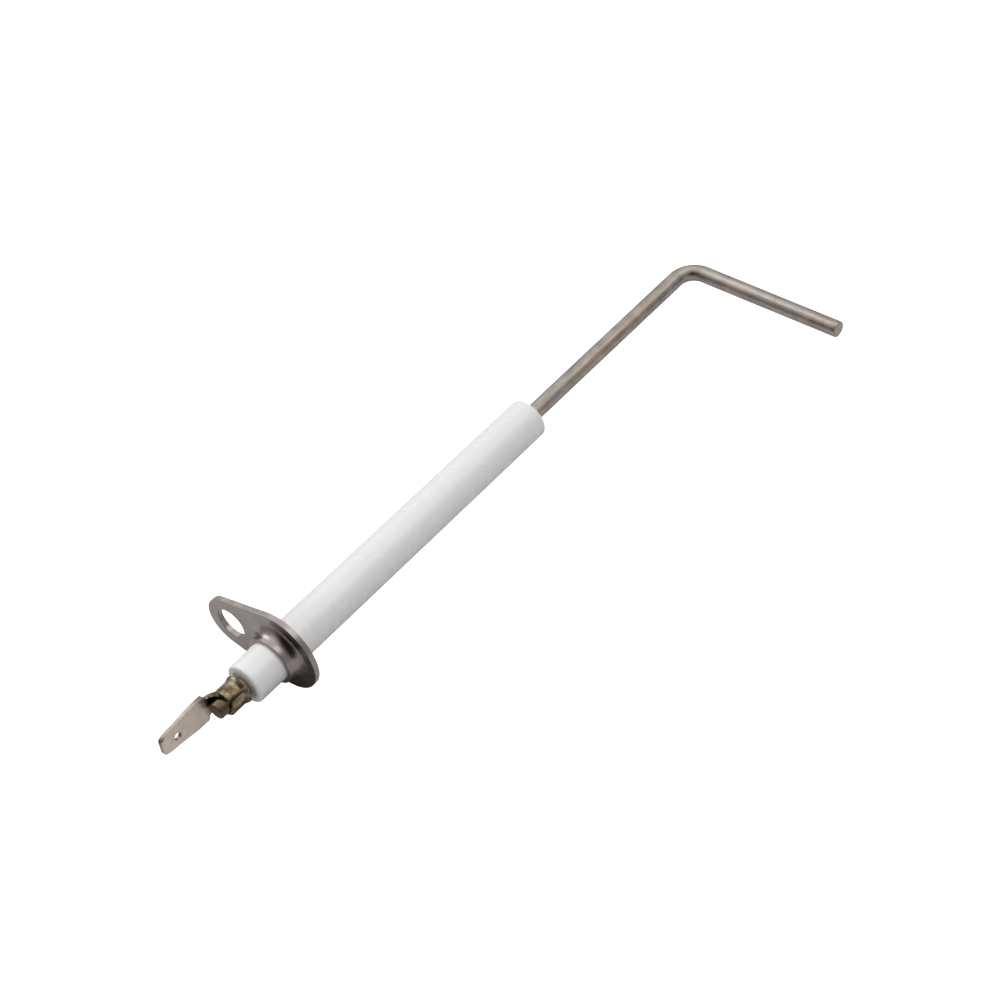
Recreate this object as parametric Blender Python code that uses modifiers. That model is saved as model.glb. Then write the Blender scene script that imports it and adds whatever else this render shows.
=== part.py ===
"""Ignition electrode: a bent steel rod in a ceramic tube, with a screw-on flange and a crimped push-on tab.

Metres, +Z up. The origin is on the ceramic's axis, in the flange's front face, which seats on the burner.
+X runs along the ceramic towards the sparking end, +Y points to the flange's screw hole.
"""

from math import acos, cos, pi, radians, sin

import bmesh
import bpy

MM = 0.001
GAP = 0.1 * MM  # clearance between pieces that touch on the real object

CERAMIC_R = 4.0 * MM
CERAMIC_FRONT = 66.8 * MM  # from the flange's front face to the tip
CERAMIC_REAR = 10.0 * MM  # from the flange's front face to the terminal end
CERAMIC_EDGE_R = 0.4 * MM
BORE_R = 1.75 * MM

SEAL_R = 2.6 * MM  # counterbore that the cement fills
SEAL_DEPTH = 3.0 * MM
SEAL_DOME = 0.25 * MM

ROD_R = 1.6 * MM
ROD_EXPOSED = 49.2 * MM  # ceramic tip to the corner where the two centre lines meet
LEG_LENGTH = 34.9 * MM  # from that corner to the end of the leg
BEND_R = 4.0 * MM
ROD_REAR = 17.1 * MM
ROD_CHAMFER = 0.25 * MM

SHEET = 1.1 * MM  # flange thickness
DISC_R = 8.1 * MM
EAR_R = 5.35 * MM
HOLE_OFFSET = 11.8 * MM
HOLE_R = 3.1 * MM
COLLAR_BORE_R = CERAMIC_R + GAP
COLLAR_FILLET_R = 1.7 * MM  # hollow side, towards the terminal
COLLAR_HEIGHT = 2.6 * MM  # above the rear face of the plate
COLLAR_THINNING = 0.73  # drawing thins the sheet to this share at the collar's rim

TAB_SHEET = 0.8 * MM
TAB_FACE_Y = 1.9 * MM  # inner face of the tab, the side the crimp wings rise from
TAB_END = 27.9 * MM
TAB_SHOULDER = 17.4 * MM
TAB_WIDE = 6.0 * MM
TAB_NARROW = 4.8 * MM
TAB_TAPER_START = 20.3 * MM
TAB_TAPER_END = 24.0 * MM
TAB_TIP_TAPER = 1.7 * MM
TAB_TIP_WIDTH = 3.6 * MM
TAB_HOLE_R = 0.75 * MM
TAB_HOLE_X = 24.4 * MM
TAB_HOLE_Z = -0.3 * MM
NECK_WIDTH = 3.9 * MM
NECK_REAR = 16.8 * MM
NECK_FRONT = 15.8 * MM  # where the wings start to rise
BARREL_FRONT = 11.0 * MM
BARREL_REAR = 15.1 * MM  # where the curl is complete
BARREL_SAG = 1.5 * GAP  # the barrel's axis lies this far below the rod's, towards +Y
BARREL_R = ROD_R + GAP + BARREL_SAG  # inner radius of the wrapped wings
CRIMP_THINNING = 0.85  # crimping thins the wings to this share of the sheet
WING_LAG = 0.3 * MM  # the wings reach full height this far in front of that
SEAM_GAP = 0.4 * MM
SEAM_ROLL = radians(40)  # how far the seam sits round from -Y towards +Z
BELL_LENGTH = 1.0 * MM
BELL_FLARE = 0.35 * MM

ROUND_STEPS = 64
COLLECTION = "ignition_electrode"


def clear_scene():
    for item in list(bpy.data.objects):
        bpy.data.objects.remove(item, do_unlink=True)


def make_material(name, colour, roughness, metallic):
    material = bpy.data.materials.new(name)
    material.use_nodes = True
    shader = material.node_tree.nodes["Principled BSDF"]
    shader.inputs["Base Color"].default_value = (*colour, 1.0)
    shader.inputs["Roughness"].default_value = roughness
    shader.inputs["Metallic"].default_value = metallic
    return material


def add_object(name, data, material, collection):
    item = bpy.data.objects.new(name, data)
    collection.objects.link(item)
    data.materials.append(material)
    return item


def arc(centre, radius, start, end, count):
    """Points on a circle from one angle to another, in radians, ends included."""
    steps = [start + (end - start) * i / count for i in range(count + 1)]
    return [(centre[0] + radius * cos(a), centre[1] + radius * sin(a)) for a in steps]


def turned(name, profile, material, collection):
    """A closed profile of (radius, height) points turned about the X axis.

    The profile runs down its outer side, from the front end to the rear end.
    """
    mesh = bpy.data.meshes.new(name)
    count = len(profile)
    edges = [(i, (i + 1) % count) for i in range(count)]
    mesh.from_pydata([(r, 0, h) for r, h in profile], edges, [])
    item = add_object(name, mesh, material, collection)
    item.rotation_euler = (0, pi / 2, 0)
    screw = item.modifiers.new("Turn", "SCREW")
    screw.axis = "Z"
    screw.angle = 2 * pi
    screw.steps = screw.render_steps = ROUND_STEPS
    screw.use_merge_vertices = True
    screw.merge_threshold = 0.00001
    screw.use_smooth_shade = True
    return item


def make_ceramic(material, collection):
    """The tube: rounded outer edges, and a wider pocket at each mouth of the bore for the cement."""
    front, rear, edge = CERAMIC_FRONT, -CERAMIC_REAR, CERAMIC_EDGE_R
    profile = arc((CERAMIC_R - edge, front - edge), edge, pi / 2, 0, 4)
    profile += arc((CERAMIC_R - edge, rear + edge), edge, 0, -pi / 2, 4)
    profile += [(SEAL_R, rear), (SEAL_R, rear + SEAL_DEPTH), (BORE_R, rear + SEAL_DEPTH)]
    profile += [(BORE_R, front - SEAL_DEPTH), (SEAL_R, front - SEAL_DEPTH), (SEAL_R, front)]
    return turned("ceramic_insulator", profile, material, collection)


def make_seal(name, end, outward, material, collection):
    """Cement in one pocket, with a slightly domed face. end is the mouth's X, outward is +1 or -1."""
    inner, outer = ROD_R + GAP, SEAL_R - GAP
    floor = end - outward * (SEAL_DEPTH - GAP)
    face = [(outer + (inner - outer) * i / 4, end + outward * SEAL_DOME * sin(pi / 2 * i / 4)) for i in range(5)]
    if outward > 0:
        profile = face[::-1] + [(outer, floor), (inner, floor)]
    else:
        profile = [(inner, floor), (outer, floor)] + face
    return turned(name, profile, material, collection)


def make_rod(material, collection):
    """One wire: straight through the ceramic, a right-angle bend towards -Y, and the leg."""
    corner = CERAMIC_FRONT + ROD_EXPOSED
    path = [(-ROD_REAR, 0, 0.8), (-ROD_REAR + ROD_CHAMFER, 0, 1)]
    path += [(-ROD_REAR + ROD_CHAMFER + (corner - BEND_R + ROD_REAR - ROD_CHAMFER) * i / 8, 0, 1) for i in range(1, 8)]
    path += [(x, y, 1) for x, y in arc((corner - BEND_R, -BEND_R), BEND_R, pi / 2, 0, 10)]
    path += [(corner, -LEG_LENGTH + ROD_CHAMFER, 1), (corner, -LEG_LENGTH, 0.8)]
    curve = bpy.data.curves.new("electrode_rod", "CURVE")
    curve.dimensions = "3D"
    curve.bevel_depth = ROD_R
    curve.bevel_resolution = 8
    curve.use_fill_caps = True
    spline = curve.splines.new("POLY")
    spline.points.add(len(path) - 1)
    for point, (x, y, scale) in zip(spline.points, path):
        point.co = (x, y, 0, 1)
        point.radius = scale
    return add_object("electrode_rod", curve, material, collection)


def teardrop(radius, end_radius, offset, count):
    """Outline of two circles and their common tangents, as points round the first circle and the ear."""
    lean = acos((radius - end_radius) / offset)
    disc = arc((0, 0), radius, pi / 2 + lean, 5 * pi / 2 - lean, count)
    ear = arc((0, offset), end_radius, pi / 2 - lean, pi / 2 + lean, count // 2)
    return disc + ear


def thickened(name, bm, thickness, material, collection, share=None):
    """An open sheet of faces made solid, away from the side its faces point to.

    share gives the part of the thickness that is left at a point, where drawing has thinned the sheet.
    """
    mesh = bpy.data.meshes.new(name)
    bm.to_mesh(mesh)
    bm.free()
    item = add_object(name, mesh, material, collection)
    solid = item.modifiers.new("Sheet", "SOLIDIFY")
    solid.thickness = thickness
    if share:
        group = item.vertex_groups.new(name="thickness")
        for vertex in mesh.vertices:
            group.add([vertex.index], share(vertex.co), "REPLACE")
        solid.vertex_group = group.name
    solid.offset = -1
    mesh.shade_smooth()
    mesh.set_sharp_from_angle(angle=radians(30))
    return item


def make_flange(material, collection):
    """Sheet metal: the front face of plate and collar as an open surface, thickened to the rear."""
    turn_in = COLLAR_FILLET_R + SHEET
    mouth = COLLAR_BORE_R + turn_in
    rings = arc((mouth, -turn_in), turn_in, pi / 2, pi, 6)
    rings += [(COLLAR_BORE_R, -SHEET - COLLAR_HEIGHT)]
    bm = bmesh.new()
    grid = []
    for radius, x in rings:
        circle = [2 * pi * i / ROUND_STEPS for i in range(ROUND_STEPS)]
        grid.append([bm.verts.new((x, radius * cos(a), radius * sin(a))) for a in circle])
    for inner, outer in zip(grid[1:], grid[:-1]):
        for i in range(ROUND_STEPS):
            j = (i + 1) % ROUND_STEPS
            bm.faces.new((outer[i], outer[j], inner[j], inner[i]))
    flat = []
    outlines = [teardrop(DISC_R, EAR_R, HOLE_OFFSET, 40)]
    outlines.append(arc((0, HOLE_OFFSET), HOLE_R, 0, 2 * pi * 31 / 32, 31))
    for outline in outlines:
        loop = [bm.verts.new((0, y, z)) for z, y in outline]
        flat += [bm.edges.new((loop[i], loop[(i + 1) % len(loop)])) for i in range(len(loop))]
    flat += [bm.edges.get((grid[0][i], grid[0][(i + 1) % ROUND_STEPS])) for i in range(ROUND_STEPS)]
    bmesh.ops.triangle_fill(bm, edges=flat, use_beauty=True)
    bmesh.ops.recalc_face_normals(bm, faces=bm.faces)
    plate = min(bm.faces, key=lambda face: -face.calc_center_median().y)
    if plate.normal.x < 0:
        bmesh.ops.reverse_faces(bm, faces=bm.faces)

    def share(point):
        depth = min(-point.x / turn_in, 1)
        return 1 - (1 - COLLAR_THINNING) * depth

    return thickened("mounting_flange", bm, SHEET, material, collection, share)


def blend(x, start, end, low, high):
    """Smooth step from low at start to high at end."""
    t = min(max((x - start) / (end - start), 0.0), 1.0)
    return low + (high - low) * t * t * (3 - 2 * t)


def terminal_section(x, columns):
    """Inner face of the terminal's sheet across its width, at one X, from the -Z edge to the +Z edge."""
    curl = blend(x, -NECK_REAR, -BARREL_REAR, 0.02, 1.0)
    flare = blend(x, -BARREL_FRONT - BELL_LENGTH, -BARREL_FRONT, 0.0, BELL_FLARE)
    radius = BARREL_R / curl + flare
    floor = blend(x, -NECK_REAR, -BARREL_REAR, TAB_FACE_Y, BARREL_R + BARREL_SAG) + flare
    neck = blend(x, -TAB_SHOULDER, -NECK_REAR, TAB_WIDE, NECK_WIDTH) / 2
    section = []
    for side in (-1, 1):
        wrapped = radius * (pi - side * SEAM_ROLL) - SEAM_GAP / 2
        reach = blend(x, -NECK_FRONT, -BARREL_REAR + WING_LAG, neck, wrapped)
        angles = [reach / radius * i / columns for i in range(columns + 1)]
        half = [(x, floor - radius * (1 - cos(a)), side * radius * sin(a)) for a in angles]
        section += half[::-1] if side < 0 else half[1:]
    return section


def tab_outline():
    """The tab's edge from the +Z shoulder round the tip to the -Z shoulder, as (x, z) points."""
    tip_start = TAB_END - TAB_TIP_TAPER
    side = [(-TAB_TAPER_START, TAB_WIDE / 2), (-TAB_TAPER_END, TAB_NARROW / 2)]
    side += [(-tip_start, TAB_NARROW / 2 - 0.1 * MM), (-TAB_END + 0.3 * MM, TAB_TIP_WIDTH / 2 + 0.15 * MM)]
    side += [(-TAB_END, TAB_TIP_WIDTH / 2)]
    return side + [(x, -z) for x, z in side[::-1]]


def make_terminal(material, collection):
    """One folded sheet: flat tab with its hole, neck, and two wings wrapped round the rod's rear end."""
    columns = 12
    stations = [-TAB_SHOULDER + (TAB_SHOULDER - BARREL_REAR) * i / 12 for i in range(13)]
    stations += [-BARREL_REAR + (BARREL_REAR - BARREL_FRONT) * i / 12 for i in range(1, 13)]
    bm = bmesh.new()
    rows = [[bm.verts.new(p) for p in terminal_section(x, columns)] for x in stations]
    for rear, front in zip(rows[:-1], rows[1:]):
        for i in range(2 * columns):
            bm.faces.new((rear[i], rear[i + 1], front[i + 1], front[i]))
    root = rows[0]
    edge = [bm.verts.new((x, TAB_FACE_Y, z)) for x, z in tab_outline()]
    border = [root[-1]] + edge + [root[0]]
    flat = [bm.edges.new(pair) for pair in zip(border[:-1], border[1:])]
    flat += [bm.edges.get(pair) for pair in zip(root[:-1], root[1:])]
    circle = arc((-TAB_HOLE_X, TAB_HOLE_Z), TAB_HOLE_R, 0, 2 * pi * 19 / 20, 19)
    hole = [bm.verts.new((x, TAB_FACE_Y, z)) for x, z in circle]
    flat += [bm.edges.new(pair) for pair in zip(hole, hole[1:] + hole[:1])]
    bmesh.ops.triangle_fill(bm, edges=flat, use_beauty=True)
    bmesh.ops.recalc_face_normals(bm, faces=bm.faces)
    tab = min(bm.faces, key=lambda face: face.calc_center_median().x)
    if tab.normal.y > 0:
        bmesh.ops.reverse_faces(bm, faces=bm.faces)

    def share(point):
        return blend(point.x, -NECK_FRONT, -BARREL_REAR, 1, CRIMP_THINNING)

    return thickened("tab_terminal", bm, TAB_SHEET, material, collection, share)


def main():
    clear_scene()
    collection = bpy.data.collections.new(COLLECTION)
    bpy.context.scene.collection.children.link(collection)
    glaze = make_material("glazed_ceramic", (0.82, 0.81, 0.80), 0.22, 0.0)
    steel = make_material("heat_resistant_steel", (0.42, 0.37, 0.33), 0.35, 1.0)
    plate = make_material("stamped_steel", (0.40, 0.37, 0.36), 0.38, 1.0)
    brass = make_material("plated_brass", (0.60, 0.52, 0.42), 0.35, 1.0)
    cement = make_material("ceramic_cement", (0.66, 0.63, 0.58), 0.85, 0.0)
    make_ceramic(glaze, collection)
    make_seal("front_cement_seal", CERAMIC_FRONT, 1, cement, collection)
    make_seal("rear_cement_seal", -CERAMIC_REAR, -1, cement, collection)
    make_rod(steel, collection)
    make_flange(plate, collection)
    make_terminal(brass, collection)


main()
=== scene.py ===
"""Looks of the ignition electrode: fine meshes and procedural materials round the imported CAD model.

Metres, in the CAD's frame: the origin is on the ceramic's axis in the flange's front face, +X runs to the
sparking end, +Y to the screw hole, +Z up. Outer sizes are read from the CAD nodes' boxes.
"""

from math import acos, cos, pi, radians, sin

import bmesh
import bpy
from mathutils import Matrix, Vector, noise


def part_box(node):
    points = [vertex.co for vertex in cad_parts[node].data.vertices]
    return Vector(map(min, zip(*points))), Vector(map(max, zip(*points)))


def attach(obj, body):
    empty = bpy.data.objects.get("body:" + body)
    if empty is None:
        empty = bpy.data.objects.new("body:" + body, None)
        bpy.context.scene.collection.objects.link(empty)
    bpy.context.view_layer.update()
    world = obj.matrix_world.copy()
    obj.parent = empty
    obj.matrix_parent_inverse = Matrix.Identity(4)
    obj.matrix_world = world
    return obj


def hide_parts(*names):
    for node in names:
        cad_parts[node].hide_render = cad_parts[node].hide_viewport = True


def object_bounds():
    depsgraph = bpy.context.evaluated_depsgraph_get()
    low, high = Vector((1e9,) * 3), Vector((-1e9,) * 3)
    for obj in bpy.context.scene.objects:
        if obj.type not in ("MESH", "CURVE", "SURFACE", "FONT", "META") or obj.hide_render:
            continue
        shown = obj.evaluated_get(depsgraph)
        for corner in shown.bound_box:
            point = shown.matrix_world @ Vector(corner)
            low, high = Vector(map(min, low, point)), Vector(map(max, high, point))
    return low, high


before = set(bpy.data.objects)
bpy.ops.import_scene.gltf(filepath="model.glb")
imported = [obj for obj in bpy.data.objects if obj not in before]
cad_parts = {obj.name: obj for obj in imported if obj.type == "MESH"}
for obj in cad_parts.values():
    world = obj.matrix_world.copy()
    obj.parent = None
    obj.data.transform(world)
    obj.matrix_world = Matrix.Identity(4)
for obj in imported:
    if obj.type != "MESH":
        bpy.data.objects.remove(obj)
CAD_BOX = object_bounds()

MM = 0.001
GAP = 0.1 * MM  # clearance between pieces that touch on the real object

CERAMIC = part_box("ceramic_insulator")
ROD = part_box("electrode_rod")
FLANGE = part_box("mounting_flange")
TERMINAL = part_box("tab_terminal")

CERAMIC_R = 4.0 * MM
CERAMIC_FRONT = CERAMIC[1].x
CERAMIC_REAR = CERAMIC[0].x
CERAMIC_EDGE_R = 0.45 * MM
CERAMIC_STEPS = 40
CERAMIC_WAVE = 0.012 * MM  # the drawn tube is never quite round
WAVES_ALONG = 90  # noise cycles a metre
WAVES_ACROSS = 260
BORE_R = 1.75 * MM
SEAL_R = 2.6 * MM
SEAL_DEPTH = 3.0 * MM
SEAL_RISE = 0.16 * MM  # how far the cement climbs up the rod
SEAL_GRIT = 0.04 * MM
SEAL_STEPS = 14
POCKET_EDGE_R = 0.15 * MM

ROD_R = 1.6 * MM
ROD_REAR = ROD[0].x
ROD_CORNER = ROD[1].x - ROD_R
LEG_END = ROD[0].y
BEND_R = 4.0 * MM
ROD_CHAMFER = 0.25 * MM
ROD_END = [(0.0, 0.80), (0.04, 0.87), (0.35, 0.955), (1.0, 1.0)]  # shares of the chamfer and of the radius
ROD_SIDES = 48
STRAIGHT_STEPS = 60
BEND_STEPS = 32
LEG_STEPS = 20
BEND_SQUEEZE = 0.03  # the bend flattens the wire by this share
ROD_WAVE = 0.004  # unevenness of the drawn wire, as a share of its radius
ROD_WAVES = 300  # noise cycles a metre
CUT_FACE = 0.7  # the flat of a sheared end, as a share of the end's radius
CUT_DISH = 0.03 * MM
CUT_CENTRE = 0.04 * MM
CRIMPED_END = 3.0 * MM  # length of the wire at the terminal that is painted dark brown as shade, fading out over as much again

SHEET = 1.1 * MM
DISC_R = -FLANGE[0].y
EAR_R = 5.35 * MM
OUTLINE_STEPS = 80
HOLE_OFFSET = FLANGE[1].y - EAR_R
HOLE_R = 3.1 * MM
HOLE_STEPS = 64
COLLAR_BORE_R = CERAMIC_R + 0.02 * MM  # pressed on, so no gap shows
COLLAR_FILLET_R = 1.7 * MM
COLLAR_LAND = 0.1 * MM  # flat ring between the collar's rounded mouth and the filled plate
COLLAR_HEIGHT = 2.6 * MM
COLLAR_THINNING = 0.73  # share of the sheet's thickness left by drawing

TAB_SHEET = 0.8 * MM
TAB_FACE_Y = 1.9 * MM
TAB_END = -TERMINAL[0].x
TAB_SHOULDER = 17.6 * MM
TAB_WIDE = 6.0 * MM
TAB_NARROW = 4.8 * MM
TAB_DRAFT = 0.1 * MM  # the narrow part loses this on each side before the tip
TAB_TAPER_START = 20.3 * MM
TAB_TAPER_END = 24.0 * MM
TAB_TIP_TAPER = 1.7 * MM
TAB_TIP_WIDTH = 3.6 * MM
TAB_CORNER_R = 0.9 * MM
TAB_HOLE_R = 0.75 * MM
TAB_HOLE_X = 24.3 * MM
TAB_HOLE_Z = -0.3 * MM
TAB_HOLE_STEPS = 32
NECK_WIDTH = 3.9 * MM
NECK_REAR = 16.8 * MM
NECK_FRONT = 15.8 * MM
NECK_CURL = 0.02  # curl of the flat sheet, as a share of the barrel's
BARREL_FRONT = 11.0 * MM
BARREL_REAR = 15.1 * MM
BARREL_SAG = 1.5 * GAP
BARREL_R = ROD_R + GAP + BARREL_SAG
CRIMP_THINNING = 0.85  # share of the sheet's thickness left by the crimp
WING_LAG = 0.3 * MM  # the wings reach full length this far behind the barrel's rear end
SEAM_GAP = 0.4 * MM
SEAM_ROLL = radians(40)  # the seam lies this far to one side of the barrel's top
BELL_LENGTH = 1.0 * MM
BELL_FLARE = 0.35 * MM
WING_COLUMNS = 28
NECK_STATIONS = 26
BARREL_STATIONS = 20

ROUND_STEPS = 128
SHARP_ANGLE = radians(32)
EDGE_BREAK = 0.08 * MM  # rounding that tumbling leaves on the stamped edges
EDGE_ANGLE = radians(50)
WELD_DISTANCE = 0.002 * MM

# Ramps are lists of (position, colour).
GLAZE_CLOUDS = [(0.2, (0.822, 0.812, 0.81)), (0.8, (0.832, 0.825, 0.822))]
GLAZE_SPECK = (0.42, 0.36, 0.30)
BARE_CERAMIC = (0.74, 0.72, 0.69)
WIRE_TONES = [(0.32, (0.37, 0.325, 0.283)), (0.68, (0.53, 0.47, 0.42))]
WIRE_STREAK = (0.21, 0.18, 0.155)
WIRE_PIT = (0.10, 0.085, 0.07)
WIRE_END_SHADE = (0.13, 0.09, 0.05)
STEEL_TONES = [(0.3, (0.29, 0.253, 0.243)), (0.7, (0.40, 0.358, 0.345))]
STEEL_SCRATCH = (0.50, 0.47, 0.45)
PLATING_TONES = [(0.3, (0.62, 0.535, 0.465)), (0.7, (0.74, 0.66, 0.59))]
# brass of the folded sheet; its darkest stops are painted shade and painted dark reflections of the crimp
BRASS_AND_SHADE_TONES = [(0.34, (0.09, 0.058, 0.027)), (0.5, (0.19, 0.15, 0.085)), (0.66, (0.38, 0.34, 0.25))]
CUT_BRASS = (0.27, 0.235, 0.185)
CEMENT_TONES = [(0.35, (0.50, 0.46, 0.41)), (0.6, (0.70, 0.67, 0.62))]
DAMP_CEMENT = (0.45, 0.40, 0.34)

LENS = 90.06
SENSOR_WIDTH = 36.0
CLIP_START = 0.01
CLIP_END = 20.0
AZIMUTH = -43.04
ELEVATION = 44.46
ROLL = -10.58
DISTANCE = 445.3 * MM
AIM = Vector((47.3, -9.15, 0.11)) * MM

FLOOR_END = -36.0 * MM  # the floor stops here, behind the terminal, and the dark room begins
FLOOR_SIZE = 0.8
FLOOR_GAP = 0.05 * MM
FLOOR_COLOUR = (0.66, 0.655, 0.65)
PAINTED_SHADOW_CENTRE = Vector((-5.5, -2.5)) * MM  # painted shadow: a dark card on the floor below the tube's rear end, for the metal to mirror
PAINTED_SHADOW_SIZE = Vector((11.0, 15.0)) * MM
PAINTED_SHADOW_LIFT = 0.02 * MM
PAINTED_SHADOW_COLOUR = (0.18, 0.18, 0.17)
SWEEP_R = 3.0
SWEEP_COLOUR = (1.0, 1.0, 1.0)
SWEEP_LEVEL = 1.05
MATT_ROUGHNESS = 0.9
SKY_DIRECTION = (0.1, 0.35, 0.93)  # the overhead softbox
SKY_STOPS = [(0.3, 0.31), (0.6, 0.43), (0.8, 0.62), (0.9, 0.82), (1.0, 1.0)]  # cosine and level
SKY_STRENGTH = 1.28
DARK_DIRECTION = (-0.88, -0.4, 0.05)  # the dark end of the room, where the photographer stands
DARK_STOPS = [(0.45, 1.0), (0.78, 0.03)]
SOFTBOX_DISTANCE = 1.5
SOFTBOXES = [  # name, direction, size in metres, power in watts, mirrored by the metal, lights matt parts
    ("key", (0.34, -0.37, 0.87), 0.8, 2.6, True, True),
    ("window", (0.05, 0.76, 0.65), 0.8, 4.2, True, False),
    ("side_fill", (0.1, 0.82, 0.57), 1.0, 2.6, False, True),
    ("top_fill", (0.2, -0.25, 0.95), 1.0, 3.7, False, True),
    ("end_fill", (-0.95, 0.1, 0.3), 1.0, 7.0, False, True),
]


def spread(start, end, count):
    """Evenly spaced values, both ends included."""
    return [start + (end - start) * i / count for i in range(count + 1)]


def arc(centre, radius, start, end, count):
    """Points on a circle from one angle to another, in radians, ends included."""
    angles = spread(start, end, count)
    return [(centre[0] + radius * cos(a), centre[1] + radius * sin(a)) for a in angles]


def circle(centre, radius, count):
    """Points all round a circle, the first one not repeated."""
    return arc(centre, radius, 0, 2 * pi, count)[:-1]


def loop_pairs(points):
    """Each point with the next one round a closed loop."""
    return list(zip(points, points[1:] + points[:1]))


def blend(x, start, end, low, high):
    """Smooth step from low at start to high at end."""
    t = min(max((x - start) / (end - start), 0.0), 1.0)
    return low + (high - low) * t * t * (3 - 2 * t)


def rounded(corners, radius, count):
    """A polyline with its inner corners replaced by arcs of about the given radius."""
    longest = 0.45  # of a side, so that neighbouring arcs stay apart
    points = [corners[0]]
    for before, here, after in zip(corners, corners[1:], corners[2:]):
        here = Vector(here)
        back = Vector(before) - here
        ahead = Vector(after) - here
        reach = min(radius, back.length * longest, ahead.length * longest)
        start = here + back.normalized() * reach
        end = here + ahead.normalized() * reach
        for t in spread(0, 1, count):
            points.append(tuple(start * (1 - t) ** 2 + here * 2 * t * (1 - t) + end * t * t))
    return points + [corners[-1]]


def linked(name, bm, material):
    """An object in the scene made from a bmesh, smooth shaded."""
    mesh = bpy.data.meshes.new(name)
    bm.to_mesh(mesh)
    bm.free()
    mesh.shade_smooth()
    mesh.materials.append(material)
    piece = bpy.data.objects.new(name, mesh)
    bpy.context.scene.collection.objects.link(piece)
    return piece


def closed_body(name, bm, material):
    """A linked object with its faces turned outwards and its sharp edges kept sharp."""
    bmesh.ops.recalc_face_normals(bm, faces=bm.faces)
    piece = linked(name, bm, material)
    piece.data.set_sharp_from_angle(angle=SHARP_ANGLE)
    return piece


def stands_for(piece, node):
    """Puts a fine mesh in the place of a CAD node, on the one body of the object."""
    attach(piece, "root")
    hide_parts(node)


def bridge(bm, rings, closed):
    """Quads between neighbouring rings of vertices, and from the last ring to the first if closed."""
    pairs = loop_pairs(rings) if closed else zip(rings, rings[1:])
    for here, there in pairs:
        for (a, b), (c, d) in zip(loop_pairs(here), loop_pairs(there)):
            bm.faces.new((a, b, d, c))


def turned(name, profile, relief, material):
    """A closed profile of (radius, x) points turned about the X axis; relief shifts each point."""
    bm = bmesh.new()
    rings = []
    for radius, x in profile:
        points = [relief(Vector((x, y, z)), radius) for y, z in circle((0, 0), radius, ROUND_STEPS)]
        rings.append([bm.verts.new(point) for point in points])
    bridge(bm, rings, closed=True)
    return closed_body(name, bm, material)


def ceramic_profile():
    """Section of the tube's wall as (radius, x) points: outside from front to rear, then back inside."""
    front, rear, edge = CERAMIC_FRONT, CERAMIC_REAR, CERAMIC_EDGE_R
    mouth = SEAL_R + POCKET_EDGE_R
    profile = arc((mouth, front - POCKET_EDGE_R), POCKET_EDGE_R, pi, pi / 2, 4)
    profile += arc((CERAMIC_R - edge, front - edge), edge, pi / 2, 0, 8)
    profile += [(CERAMIC_R, x) for x in spread(front - edge, rear + edge, CERAMIC_STEPS)[1:-1]]
    profile += arc((CERAMIC_R - edge, rear + edge), edge, 0, -pi / 2, 8)
    profile += arc((mouth, rear + POCKET_EDGE_R), POCKET_EDGE_R, -pi / 2, -pi, 4)
    profile += [(SEAL_R, rear + SEAL_DEPTH), (BORE_R, rear + SEAL_DEPTH)]
    profile += [(BORE_R, front - SEAL_DEPTH), (SEAL_R, front - SEAL_DEPTH)]
    return profile


def faint_waves(point, radius):
    """Lowers the points of the tube's outside by up to CERAMIC_WAVE."""
    if radius < CERAMIC_R - CERAMIC_EDGE_R / 2:
        return point
    place = Vector((point.x * WAVES_ALONG, point.y * WAVES_ACROSS, point.z * WAVES_ACROSS))
    depth = CERAMIC_WAVE * (0.5 + 0.5 * noise.noise(place))
    return point - Vector((0, point.y, point.z)) / radius * depth


def make_ceramic(material):
    """The tube, with faint waves, rounded outer edges and a pocket for cement at each end."""
    piece = turned("glazed_tube", ceramic_profile(), faint_waves, material)
    stands_for(piece, "ceramic_insulator")


def make_seal(name, node, end, outward, material):
    """Cement in one pocket, with a lumpy face that climbs a little up the rod."""
    inner, outer = ROD_R + GAP / 2, SEAL_R - GAP / 2
    floor = end - outward * (SEAL_DEPTH - GAP)
    profile = []
    for t in spread(0, 1, SEAL_STEPS):
        profile.append((outer + (inner - outer) * t, end + outward * SEAL_RISE * sin(pi / 2 * t)))
    profile += [(inner, floor), (outer, floor)]

    def lumps(point, radius):
        """Shifts the points of the open face in and out, and leaves the floor of the pocket flat."""
        if abs(point.x - end) > SEAL_DEPTH / 2:
            return point
        grit = 0.5 * noise.noise(point * 1800) + 0.5 * noise.noise(point * 5200)
        return point + Vector((outward * SEAL_GRIT * grit, 0, 0))

    piece = turned(name, profile, lumps, material)
    stands_for(piece, node)


def rod_path():
    """Centre line as (x, y, tangent angle, share of the radius), with a broken edge at both cut ends."""
    bend_start = ROD_CORNER - BEND_R
    path = [(ROD_REAR + ROD_CHAMFER * t, 0, 0, share) for t, share in ROD_END]
    straight = spread(ROD_REAR + ROD_CHAMFER, bend_start, STRAIGHT_STEPS)[1:-1]
    path += [(x, 0, 0, 1.0) for x in straight]
    turns = spread(0, pi / 2, BEND_STEPS)
    path += [(bend_start + BEND_R * sin(a), -BEND_R * (1 - cos(a)), -a, 1.0) for a in turns]
    leg = spread(-BEND_R, LEG_END + ROD_CHAMFER, LEG_STEPS)[1:-1]
    path += [(ROD_CORNER, y, -pi / 2, 1.0) for y in leg]
    path += [(ROD_CORNER, LEG_END + ROD_CHAMFER * t, -pi / 2, share) for t, share in ROD_END[::-1]]
    return path


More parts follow.
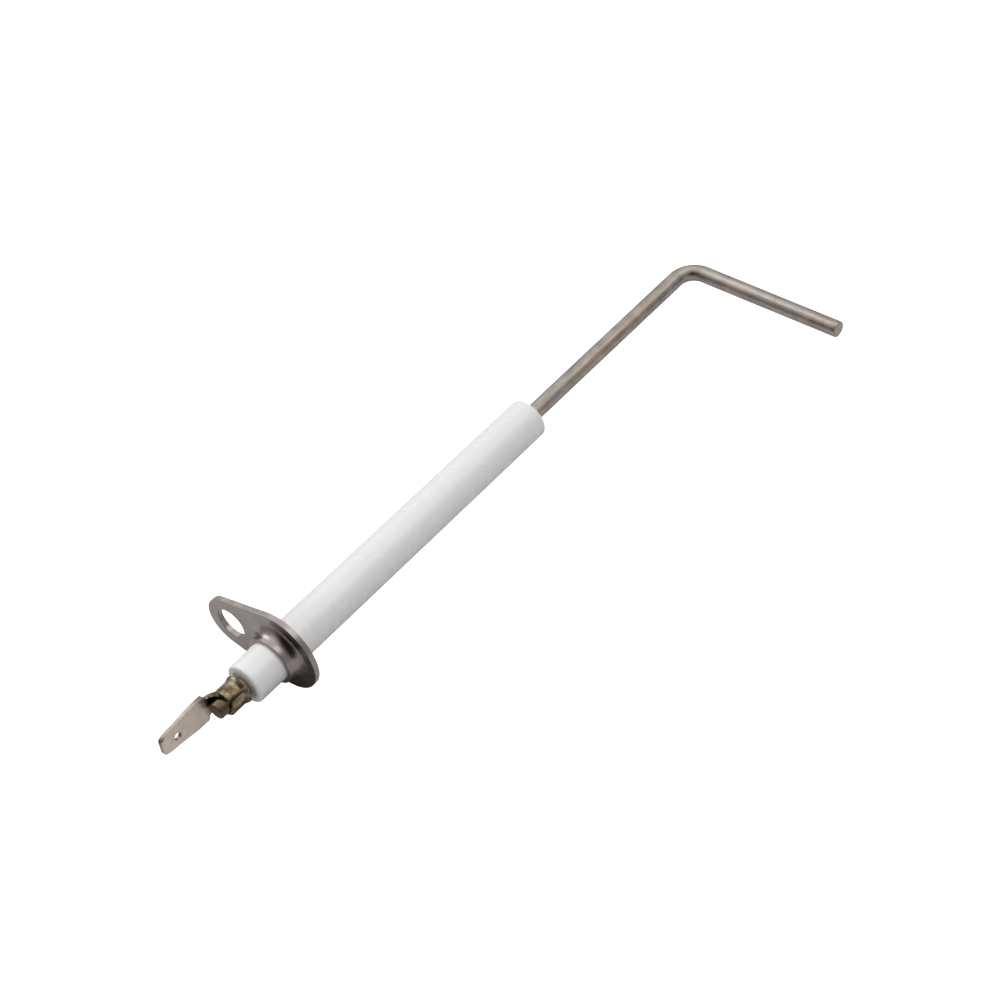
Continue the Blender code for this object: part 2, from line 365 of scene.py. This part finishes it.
def rod_ring(bm, unbent, place, length):
    """The wire's ring of points at one place of its path, at the given length from its rear end."""
    x, y, angle, share = place
    side = Vector((-sin(angle), cos(angle), 0))
    bend = sin(2 * abs(angle)) if abs(angle) < pi / 2 else 0.0
    ring = []
    for across, up in circle((0, 0), 1.0, ROD_SIDES):
        squeeze = 1 - BEND_SQUEEZE * bend * abs(across)
        wave = 1 - ROD_WAVE * (1 + noise.noise(Vector((length * ROD_WAVES, 3 * across, 3 * up))))
        radius = ROD_R * share * squeeze * wave
        offset = side * across * radius + Vector((0, 0, up * radius))
        vertex = bm.verts.new(Vector((x, y, 0)) + offset)
        vertex[unbent] = (length, ROD_R * share * across, ROD_R * share * up)
        ring.append(vertex)
    return ring


def close_end(bm, unbent, ring, inward):
    """A sheared end face on a ring of the wire, slightly dished."""
    centre = sum((v.co for v in ring), Vector()) / ROD_SIDES
    inner = []
    for v in ring:
        inset = bm.verts.new(centre + (v.co - centre) * CUT_FACE + inward * CUT_DISH)
        inset[unbent] = v[unbent].copy()
        inner.append(inset)
    bridge(bm, [ring, inner], closed=False)
    hub = bm.verts.new(centre + inward * CUT_CENTRE)
    hub[unbent] = Vector((ring[0][unbent].x, 0, 0))
    for here, there in loop_pairs(inner):
        bm.faces.new((here, there, hub))


def make_rod(material):
    """One wire from the terminal through the ceramic to the bend and the leg.

    The unbent attribute holds each point's place on the straight wire, so the drawing lines follow the bend.
    """
    bm = bmesh.new()
    unbent = bm.verts.layers.float_vector.new("unbent")
    path = rod_path()
    length = 0.0
    rings = []
    for before, place in zip(path[:1] + path, path):
        length += Vector((place[0] - before[0], place[1] - before[1])).length
        rings.append(rod_ring(bm, unbent, place, length))
    bridge(bm, rings, closed=False)
    close_end(bm, unbent, rings[0], Vector((1, 0, 0)))
    close_end(bm, unbent, rings[-1], Vector((0, 1, 0)))
    piece = closed_body("bent_wire", bm, material)
    stands_for(piece, "electrode_rod")


def thickened(piece, thickness, share):
    """Solidifies an open sheet away from the side its faces point to, then breaks its sharp edges.

    share gives the part of the thickness that is left at each point.
    """
    solid = piece.modifiers.new("Sheet", "SOLIDIFY")
    solid.thickness = thickness
    solid.offset = -1
    group = piece.vertex_groups.new(name="thickness")
    for vertex in piece.data.vertices:
        group.add([vertex.index], share(vertex.co), "REPLACE")
    solid.vertex_group = group.name
    bevel = piece.modifiers.new("Edge break", "BEVEL")
    bevel.width = EDGE_BREAK
    bevel.segments = 2
    bevel.limit_method = "ANGLE"
    bevel.angle_limit = EDGE_ANGLE
    bevel.use_clamp_overlap = False
    bevel.harden_normals = True
    weld = piece.modifiers.new("Weld", "WELD")
    weld.merge_threshold = WELD_DISTANCE


def face_towards(bm, axis, sign):
    """Turns the sheet's faces so that its largest one points along the signed axis."""
    bmesh.ops.recalc_face_normals(bm, faces=bm.faces)
    flat = max(bm.faces, key=lambda face: abs(face.normal[axis]) * face.calc_area())
    if flat.normal[axis] * sign < 0:
        bmesh.ops.reverse_faces(bm, faces=bm.faces)


def teardrop(radius, end_radius, offset, count):
    """Outline of two circles and their common tangents, as points round the disc and the ear."""
    lean = acos((radius - end_radius) / offset)
    disc = arc((0, 0), radius, pi / 2 + lean, 5 * pi / 2 - lean, count)
    ear = arc((0, offset), end_radius, pi / 2 - lean, pi / 2 + lean, count // 2)
    return disc + ear


def make_flange(material):
    """Stamped plate with a drawn collar: front face as an open surface, thickened to the rear."""
    turn_in = COLLAR_FILLET_R + SHEET
    mouth = COLLAR_BORE_R + turn_in
    profile = [(mouth + COLLAR_LAND, 0)] + arc((mouth, -turn_in), turn_in, pi / 2, pi, 16)
    profile += [(COLLAR_BORE_R, x) for x in spread(-turn_in, -SHEET - COLLAR_HEIGHT, 4)[1:]]
    bm = bmesh.new()
    rings = []
    for radius, x in profile:
        rings.append([bm.verts.new((x, y, z)) for y, z in circle((0, 0), radius, ROUND_STEPS)])
    bridge(bm, rings, closed=False)
    flat = []
    edge = teardrop(DISC_R, EAR_R, HOLE_OFFSET, OUTLINE_STEPS)
    for outline in (edge, circle((0, HOLE_OFFSET), HOLE_R, HOLE_STEPS)):
        loop = [bm.verts.new((0, y, z)) for z, y in outline]
        flat += [bm.edges.new(pair) for pair in loop_pairs(loop)]
    flat += [bm.edges.get(pair) for pair in loop_pairs(rings[0])]
    bmesh.ops.triangle_fill(bm, edges=flat, use_beauty=True)
    face_towards(bm, axis=0, sign=1)
    piece = linked("stamped_flange", bm, material)
    thickened(piece, SHEET, lambda p: 1 - (1 - COLLAR_THINNING) * min(-p.x / turn_in, 1))
    stands_for(piece, "mounting_flange")


def terminal_section(x):
    """Inner face of the terminal's sheet across its width, at one X, from the -Z edge to the +Z edge."""
    curl = blend(x, -NECK_REAR, -BARREL_REAR, NECK_CURL, 1.0)
    flare = blend(x, -BARREL_FRONT - BELL_LENGTH, -BARREL_FRONT, 0.0, BELL_FLARE)
    radius = BARREL_R / curl + flare
    floor = blend(x, -NECK_REAR, -BARREL_REAR, TAB_FACE_Y, BARREL_R + BARREL_SAG) + flare
    neck = blend(x, -TAB_SHOULDER, -NECK_REAR, TAB_WIDE, NECK_WIDTH) / 2
    section = []
    for side in (-1, 1):
        wrapped = radius * (pi - side * SEAM_ROLL) - SEAM_GAP / 2
        reach = blend(x, -NECK_FRONT, -BARREL_REAR + WING_LAG, neck, wrapped)
        angles = spread(0, reach / radius, WING_COLUMNS)
        half = [(x, floor - radius * (1 - cos(a)), side * radius * sin(a)) for a in angles]
        section += half[::-1] if side < 0 else half[1:]
    return section


def tab_outline():
    """The tab's edge from the +Z shoulder round the tip to the -Z shoulder, as (x, z) points."""
    tip_start = TAB_END - TAB_TIP_TAPER
    side = [(-TAB_TAPER_START, TAB_WIDE / 2), (-TAB_TAPER_END, TAB_NARROW / 2)]
    side += [(-tip_start, TAB_NARROW / 2 - TAB_DRAFT), (-TAB_END, TAB_TIP_WIDTH / 2)]
    corners = [(-TAB_SHOULDER, TAB_WIDE / 2)] + side + [(x, -z) for x, z in side[::-1]]
    corners.append((-TAB_SHOULDER, -TAB_WIDE / 2))
    return rounded(corners, TAB_CORNER_R, 6)[1:-1]


def make_terminal(material):
    """One folded sheet: flat tab with its hole, neck, and two wings wrapped round the rod's rear end."""
    stations = spread(-TAB_SHOULDER, -BARREL_REAR, NECK_STATIONS)
    stations += spread(-BARREL_REAR, -BARREL_FRONT, BARREL_STATIONS)[1:]
    bm = bmesh.new()
    rows = [[bm.verts.new(p) for p in terminal_section(x)] for x in stations]
    for rear, front in zip(rows, rows[1:]):
        for i in range(2 * WING_COLUMNS):
            bm.faces.new((rear[i], rear[i + 1], front[i + 1], front[i]))
    root = rows[0]
    edge = [bm.verts.new((x, TAB_FACE_Y, z)) for x, z in tab_outline()]
    border = [root[-1]] + edge + [root[0]]
    flat = [bm.edges.new(pair) for pair in zip(border, border[1:])]
    flat += [bm.edges.get(pair) for pair in zip(root, root[1:])]
    rim = circle((-TAB_HOLE_X, TAB_HOLE_Z), TAB_HOLE_R, TAB_HOLE_STEPS)
    hole = [bm.verts.new((x, TAB_FACE_Y, z)) for x, z in rim]
    flat += [bm.edges.new(pair) for pair in loop_pairs(hole)]
    bmesh.ops.triangle_fill(bm, edges=flat, use_beauty=True)
    face_towards(bm, axis=1, sign=-1)
    piece = linked("crimped_tab", bm, material)
    thickened(piece, TAB_SHEET, lambda p: blend(p.x, -NECK_FRONT, -BARREL_REAR, 1, CRIMP_THINNING))
    stands_for(piece, "tab_terminal")


def set_stops(ramp, stops):
    """Gives a colour ramp node its (position, colour) stops."""
    elements = ramp.color_ramp.elements
    while len(elements) < len(stops):
        elements.new(0.5)
    for element, (position, colour) in zip(elements, stops):
        element.position = position
        element.color = (*colour, 1.0)


class Finish:
    """A Principled material and short calls for the texture nodes that feed it."""

    def __init__(self, name, roughness, metallic):
        self.material = bpy.data.materials.new(name)
        self.material.use_nodes = True
        self.tree = self.material.node_tree
        self.shader = self.tree.nodes["Principled BSDF"]
        self.shader.inputs["Roughness"].default_value = roughness
        self.shader.inputs["Metallic"].default_value = metallic
        self.place = self.tree.nodes.new("ShaderNodeTexCoord").outputs["Object"]

    def link(self, source, target):
        self.tree.links.new(source, target)

    def node(self, kind, **properties):
        made = self.tree.nodes.new(kind)
        for key, value in properties.items():
            setattr(made, key, value)
        return made

    def stretched(self, source, scale):
        """Coordinates scaled along each axis, so that a grain with them runs out along the small ones."""
        made = self.node("ShaderNodeMapping")
        made.inputs["Scale"].default_value = scale
        self.link(source, made.inputs["Vector"])
        return made.outputs["Vector"]

    def grain(self, source, scale, detail, roughness=0.55):
        """Noise at scale cycles a metre."""
        made = self.node("ShaderNodeTexNoise")
        made.inputs["Scale"].default_value = scale
        made.inputs["Detail"].default_value = detail
        made.inputs["Roughness"].default_value = roughness
        self.link(source, made.inputs["Vector"])
        return made.outputs["Fac"]

    def remap(self, source, low, high, to_low, to_high):
        """A smooth step from to_low at low to to_high at high."""
        made = self.node("ShaderNodeMapRange", interpolation_type="SMOOTHSTEP")
        for socket, value in zip(("From Min", "From Max", "To Min", "To Max"), (low, high, to_low, to_high)):
            made.inputs[socket].default_value = value
        self.link(source, made.inputs["Value"])
        return made.outputs["Result"]

    def ramp(self, source, stops):
        made = self.node("ShaderNodeValToRGB")
        set_stops(made, stops)
        self.link(source, made.inputs["Fac"])
        return made.outputs["Color"]

    def mix(self, factor, first, second):
        """Mixes two colours, each a socket or an RGB triple, by a socket or number."""
        made = self.node("ShaderNodeMix", data_type="RGBA")
        for socket, value in ((made.inputs[0], factor), (made.inputs[6], first), (made.inputs[7], second)):
            if isinstance(value, bpy.types.NodeSocket):
                self.link(value, socket)
            elif isinstance(value, tuple):
                socket.default_value = (*value, 1.0)
            else:
                socket.default_value = value
        return made.outputs[2]

    def math(self, operation, first, second=0.0):
        made = self.node("ShaderNodeMath", operation=operation)
        for socket, value in zip(made.inputs, (first, second)):
            if isinstance(value, bpy.types.NodeSocket):
                self.link(value, socket)
            else:
                socket.default_value = value
        return made.outputs["Value"]

    def bump(self, height, distance, under=None):
        made = self.node("ShaderNodeBump")
        made.inputs["Distance"].default_value = distance
        self.link(height, made.inputs["Height"])
        if under:
            self.link(under, made.inputs["Normal"])
        return made.outputs["Normal"]

    def feed(self, **sockets):
        """Links a source to each named socket of the shader."""
        for socket, source in sockets.items():
            self.link(source, self.shader.inputs[socket.replace("_", " ")])


def glaze():
    """White glaze: soft gloss, faint warm clouds, orange peel, a few fine specks, and bare matt end faces."""
    finish = Finish("glazed_ceramic_fine", 0.25, 0.0)
    clouds = finish.grain(finish.place, 120, detail=4)
    white = finish.ramp(clouds, GLAZE_CLOUDS)
    specks = finish.node("ShaderNodeTexVoronoi", feature="F1")
    specks.inputs["Scale"].default_value = 700
    finish.link(finish.place, specks.inputs["Vector"])
    dot = finish.remap(specks.outputs["Distance"], 0.05, 0.11, 1.0, 0.0)
    rare = finish.remap(finish.grain(finish.place, 500, detail=1), 0.62, 0.68, 0.0, 0.5)
    speckled = finish.mix(finish.math("MULTIPLY", dot, rare), white, GLAZE_SPECK)
    normal = finish.node("ShaderNodeNewGeometry").outputs["Normal"]
    split = finish.node("ShaderNodeSeparateXYZ")
    finish.link(normal, split.inputs["Vector"])
    bare = finish.remap(finish.math("ABSOLUTE", split.outputs["X"]), 0.80, 0.97, 0.0, 1.0)
    colour = finish.mix(bare, speckled, BARE_CERAMIC)
    gloss = finish.remap(finish.grain(finish.place, 420, detail=1), 0.3, 0.7, 0.25, 0.28)
    rough = finish.math("MAXIMUM", gloss, finish.math("MULTIPLY", bare, 0.7))
    peel = finish.bump(finish.grain(finish.place, 700, detail=1), 0.0025 * MM)
    grit = finish.bump(finish.grain(finish.place, 4200, detail=2), 0.0008 * MM, under=peel)
    finish.feed(Base_Color=colour, Roughness=rough, Normal=grit)
    return finish.material


def drawn_steel():
    """Warm grey heat-resistant wire: drawing lines along it, dull patches, small pits, and painted shade in
    dark brown at its rear end in the crimp.
    """
    finish = Finish("drawn_steel_fine", 0.38, 1.0)
    unbent = finish.node("ShaderNodeAttribute", attribute_name="unbent").outputs["Vector"]
    lines = finish.grain(finish.stretched(unbent, (0.025, 1, 1)), 5200, detail=4, roughness=0.7)
    patches = finish.grain(unbent, 420, detail=4, roughness=0.6)
    pits = finish.grain(unbent, 3800, detail=2)
    warm = finish.ramp(patches, WIRE_TONES)
    streaked = finish.mix(finish.remap(lines, 0.35, 0.7, 0.0, 0.45), warm, WIRE_STREAK)
    pitted = finish.mix(finish.remap(pits, 0.62, 0.72, 0.0, 0.5), streaked, WIRE_PIT)
    split = finish.node("ShaderNodeSeparateXYZ")
    finish.link(unbent, split.inputs["Vector"])
    # painted shade: the wire's rear end, inside and behind the crimp, is darkened to brown
    crimp_shade = finish.remap(split.outputs["X"], CRIMPED_END, 2 * CRIMPED_END, 0.95, 0.0)
    colour = finish.mix(crimp_shade, pitted, WIRE_END_SHADE)
    rough = finish.remap(finish.math("ADD", lines, patches), 0.7, 1.3, 0.30, 0.52)
    drawn = finish.bump(lines, 0.006 * MM)
    worn = finish.bump(pits, 0.004 * MM, under=drawn)
    finish.feed(Base_Color=colour, Roughness=rough, Normal=worn)
    return finish.material


def stamped_steel():
    """Tumbled sheet steel: fine random scratches, cloudy dulling and slightly dished unevenness."""
    finish = Finish("stamped_steel_fine", 0.38, 1.0)
    clouds = finish.grain(finish.place, 260, detail=5, roughness=0.6)
    tone = finish.ramp(clouds, STEEL_TONES)
    along = finish.grain(finish.stretched(finish.place, (1, 0.06, 1)), 5200, detail=3, roughness=0.65)
    across = finish.grain(finish.stretched(finish.place, (1, 1, 0.08)), 4600, detail=3, roughness=0.65)
    scratches = finish.math("MAXIMUM", along, across)
    marked = finish.mix(finish.remap(scratches, 0.60, 0.75, 0.0, 0.4), tone, STEEL_SCRATCH)
    rough = finish.remap(clouds, 0.3, 0.7, 0.24, 0.36)
    tumbled = finish.bump(scratches, 0.004 * MM)
    uneven = finish.bump(finish.grain(finish.place, 350, detail=2), 0.02 * MM, under=tumbled)
    finish.feed(Base_Color=marked, Roughness=rough, Normal=uneven)
    return finish.material


def plated_brass():
    """Thin plating, tan grey on the tab, with brass showing where the sheet is folded, darkened there to near
    black brown as painted shade and painted dark reflections.
    """
    finish = Finish("plated_brass_fine", 0.36, 1.0)
    split = finish.node("ShaderNodeSeparateXYZ")
    finish.link(finish.place, split.inputs["Vector"])
    mottle = finish.grain(finish.place, 700, detail=5, roughness=0.65)
    shift = finish.math("MULTIPLY", finish.math("SUBTRACT", mottle, 0.5), 3 * MM)
    along = finish.math("ADD", split.outputs["X"], shift)
    folded = finish.remap(along, -TAB_SHOULDER, -NECK_REAR, 0.0, 1.0)
    plating = finish.ramp(mottle, PLATING_TONES)
    # folded neck and barrel: brass colour, with painted shade and painted dark reflections in its dark stops
    brass_and_shade = finish.ramp(mottle, BRASS_AND_SHADE_TONES)
    skin = finish.mix(folded, plating, brass_and_shade)
    facing = finish.node("ShaderNodeSeparateXYZ")
    finish.link(finish.node("ShaderNodeNewGeometry").outputs["Normal"], facing.inputs["Vector"])
    flat = finish.remap(finish.math("ABSOLUTE", facing.outputs["Y"]), 0.3, 0.6, 0.0, 1.0)
    cut = finish.math("MULTIPLY", finish.math("SUBTRACT", 1.0, flat), finish.math("SUBTRACT", 1.0, folded))
    colour = finish.mix(cut, skin, CUT_BRASS)
    rolled = finish.grain(finish.stretched(finish.place, (0.05, 1, 1)), 4200, detail=3, roughness=0.7)
    rough = finish.remap(finish.math("ADD", mottle, rolled), 0.7, 1.3, 0.24, 0.44)
    lines = finish.bump(rolled, 0.004 * MM)
    dents = finish.bump(finish.grain(finish.place, 900, detail=2), 0.012 * MM, under=lines)
    finish.feed(Base_Color=colour, Roughness=rough, Normal=dents)
    return finish.material


def cement_mix():
    """Matt off-white refractory cement with sandy grains."""
    finish = Finish("ceramic_cement_fine", 0.9, 0.0)
    sand = finish.grain(finish.place, 5200, detail=4, roughness=0.7)
    damp = finish.grain(finish.place, 900, detail=3)
    pale = finish.ramp(sand, CEMENT_TONES)
    colour = finish.mix(finish.remap(damp, 0.5, 0.7, 0.0, 0.5), pale, DAMP_CEMENT)
    finish.feed(Base_Color=colour, Normal=finish.bump(sand, 0.03 * MM))
    return finish.material


def matt(name, colour, emission=0.0):
    """A plain material for the stage, with white emission."""
    material = bpy.data.materials.new(name)
    material.use_nodes = True
    shader = material.node_tree.nodes["Principled BSDF"]
    shader.inputs["Base Color"].default_value = (*colour, 1)
    shader.inputs["Roughness"].default_value = MATT_ROUGHNESS
    shader.inputs["Emission Color"].default_value = (1, 1, 1, 1)
    shader.inputs["Emission Strength"].default_value = emission
    return material


def flat_card(name, centre, size, height, material):
    """A level rectangle of the stage that only mirrors and lights: the camera looks through it."""
    bm = bmesh.new()
    bmesh.ops.create_grid(bm, x_segments=1, y_segments=1, size=0.5)
    bmesh.ops.scale(bm, verts=bm.verts, vec=(*size, 1))
    bmesh.ops.translate(bm, verts=bm.verts, vec=(*centre, height))
    card = linked(name, bm, material)
    card.visible_camera = False
    return card


def make_stage():
    """A pale floor and a dark card, a painted shadow below the tube's rear end that the object mirrors, in a
    white sweep that only the camera sees.
    """
    level = CAD_BOX[0].z - FLOOR_GAP
    centre = (FLOOR_END + FLOOR_SIZE / 2, AIM.y)
    floor = flat_card("floor", centre, (FLOOR_SIZE, FLOOR_SIZE), level, matt("pale_floor", FLOOR_COLOUR))
    # painted shadow: a dark card where the floor lies in the tube's shade, seen only in the metal's
    # reflections
    painted_shadow = flat_card("painted_shadow", PAINTED_SHADOW_CENTRE, PAINTED_SHADOW_SIZE, level + PAINTED_SHADOW_LIFT, matt("painted_shadow_card", PAINTED_SHADOW_COLOUR))
    bm = bmesh.new()
    bmesh.ops.create_icosphere(bm, subdivisions=4, radius=SWEEP_R)
    sweep = linked("white_sweep", bm, matt("white_sweep", SWEEP_COLOUR, SWEEP_LEVEL))
    sweep.visible_diffuse = False
    sweep.visible_glossy = False
    sweep.visible_transmission = False
    sweep.visible_shadow = False


def add_softbox(name, direction, size, power, glossy, diffuse):
    """A square area light that looks at the object from SOFTBOX_DISTANCE."""
    light = bpy.data.lights.new(name, "AREA")
    light.size = size
    light.energy = power
    lamp = bpy.data.objects.new(name, light)
    bpy.context.scene.collection.objects.link(lamp)
    towards = Vector(direction).normalized()
    lamp.location = AIM + towards * SOFTBOX_DISTANCE
    lamp.rotation_mode = "QUATERNION"
    lamp.rotation_quaternion = towards.to_track_quat("Z", "Y")
    lamp.visible_glossy = glossy
    lamp.visible_diffuse = diffuse


def lobe(tree, direction, towards, stops):
    """Grey level by the angle from one direction, as a socket; stops are pairs of cosine and level."""
    facing = tree.nodes.new("ShaderNodeVectorMath")
    facing.operation = "DOT_PRODUCT"
    facing.inputs[1].default_value = Vector(towards).normalized()
    tree.links.new(direction, facing.inputs[0])
    shifted = tree.nodes.new("ShaderNodeMath")
    shifted.operation = "MULTIPLY_ADD"
    shifted.inputs[1].default_value = 0.5
    shifted.inputs[2].default_value = 0.5
    tree.links.new(facing.outputs["Value"], shifted.inputs[0])
    ramp = tree.nodes.new("ShaderNodeValToRGB")
    set_stops(ramp, [(0.5 + 0.5 * cosine, (level, level, level)) for cosine, level in stops])
    tree.links.new(shifted.outputs["Value"], ramp.inputs["Fac"])
    return ramp.outputs["Color"]


def make_world():
    """Soft daylight from above and behind the screw hole, fading to a dark room on the camera's side."""
    world = bpy.data.worlds.new("studio")
    bpy.context.scene.world = world
    world.use_nodes = True
    tree = world.node_tree
    direction = tree.nodes.new("ShaderNodeTexCoord").outputs["Generated"]
    room = tree.nodes.new("ShaderNodeVectorMath")
    room.operation = "MULTIPLY"
    tree.links.new(lobe(tree, direction, SKY_DIRECTION, SKY_STOPS), room.inputs[0])
    tree.links.new(lobe(tree, direction, DARK_DIRECTION, DARK_STOPS), room.inputs[1])
    background = tree.nodes["Background"]
    tree.links.new(room.outputs["Vector"], background.inputs["Color"])
    background.inputs["Strength"].default_value = SKY_STRENGTH


def make_camera():
    """The photo's camera: it looks at AIM from DISTANCE, with the fitted angles and lens."""
    data = bpy.data.cameras.new("camera")
    data.lens = LENS
    data.sensor_width = SENSOR_WIDTH
    data.clip_start = CLIP_START
    data.clip_end = CLIP_END
    camera = bpy.data.objects.new("camera", data)
    bpy.context.scene.collection.objects.link(camera)
    turn = Matrix.Rotation(radians(AZIMUTH), 4, "Z") @ Matrix.Rotation(radians(90 - ELEVATION), 4, "X")
    turn = turn @ Matrix.Rotation(radians(ROLL), 4, "Z")
    camera.matrix_world = Matrix.Translation(AIM) @ turn @ Matrix.Translation((0, 0, DISTANCE))
    bpy.context.scene.camera = camera


def main():
    bpy.context.scene.view_settings.view_transform = "Standard"
    make_camera()
    make_stage()
    make_world()
    for softbox in SOFTBOXES:
        add_softbox(*softbox)
    cement = cement_mix()
    make_ceramic(glaze())
    make_seal("front_cement", "front_cement_seal", CERAMIC_FRONT, 1, cement)
    make_seal("rear_cement", "rear_cement_seal", CERAMIC_REAR, -1, cement)
    make_rod(drawn_steel())
    make_flange(stamped_steel())
    make_terminal(plated_brass())


main()
